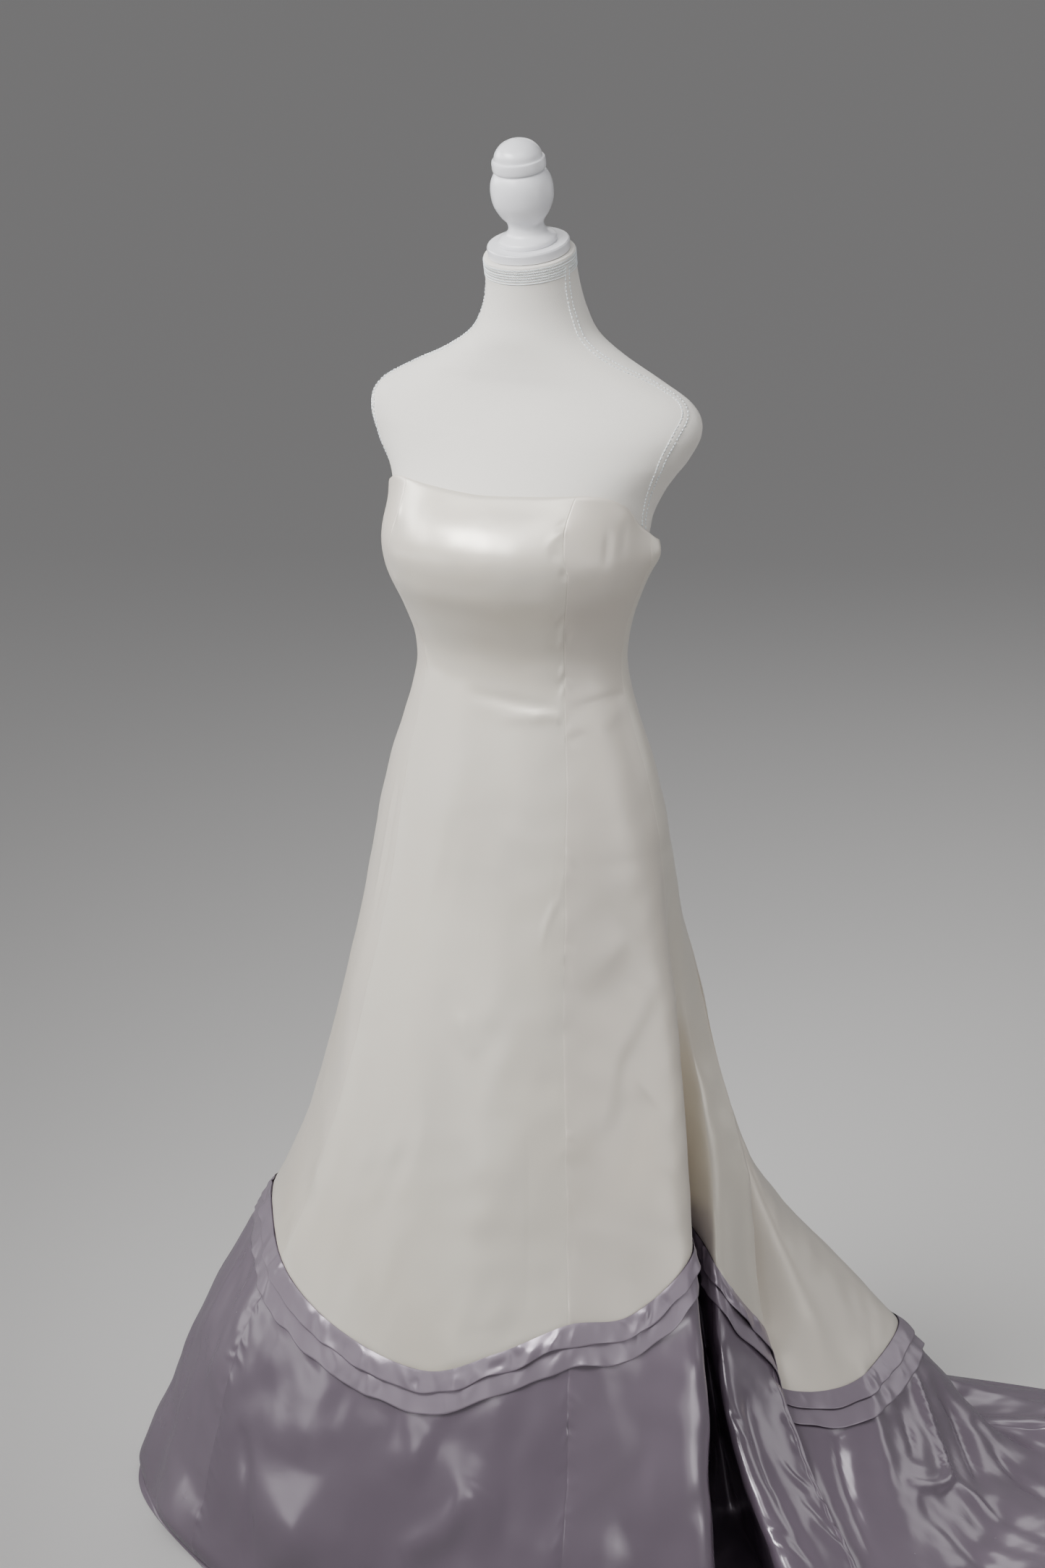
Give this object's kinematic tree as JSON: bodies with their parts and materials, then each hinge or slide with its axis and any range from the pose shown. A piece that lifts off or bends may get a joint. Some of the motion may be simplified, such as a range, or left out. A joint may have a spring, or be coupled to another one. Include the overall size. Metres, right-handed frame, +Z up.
{
  "type": "wedding dress on a dress form",
  "caption": "Strapless princess-seamed A-line wedding dress with a scalloped hem border and side-swept train, on a limbless dress form.",
  "frame": {"origin": "centre of the stand's foot, on the floor", "axes": "+Z up, the dress's front faces -Y, +X is towards the wearer's left, where the train lies"},
  "size_m": [1.3766, 0.9605, 1.6165],
  "materials": {
    "ivory_satin": "satin weave, ivory",
    "lavender_satin": "satin weave, lavender",
    "form_knit": "matt stretch knit over foam",
    "painted_wood": "white satin paint on turned wood",
    "painted_metal": "white powder coat",
    "zip_metal": "nickel-coloured"
  },
  "bodies": {
    "dress_and_form": {"gore_front": "ivory_satin", "gore_side_front_left": "ivory_satin", "gore_side_back_left": "ivory_satin", "gore_centre_back_left": "ivory_satin", "gore_centre_back_right": "ivory_satin", "gore_side_back_right": "ivory_satin", "gore_side_front_right": "ivory_satin", "border_front": "lavender_satin", "border_side_front_left": "lavender_satin", "border_side_back_left": "lavender_satin", "border_centre_back_left": "lavender_satin", "border_centre_back_right": "lavender_satin", "border_side_back_right": "lavender_satin", "border_side_front_right": "lavender_satin", "trim_upper": "lavender_satin", "trim_lower": "lavender_satin", "zip_slider": "zip_metal", "form_torso": "form_knit", "form_neck_cap": "painted_wood", "form_finial": "painted_wood", "form_pole": "painted_metal", "form_foot": "painted_metal"},
    "zip_pull": {"zip_pull": "zip_metal"}
  },
  "joints": [
    {"name": "zip_pull_hinge", "type": "hinge", "parent": "dress_and_form", "child": "zip_pull", "pos_m": [0, 0.09001, 1.15925], "axis": [1, 0, 0], "range_deg": [0, 120]}
  ]
}
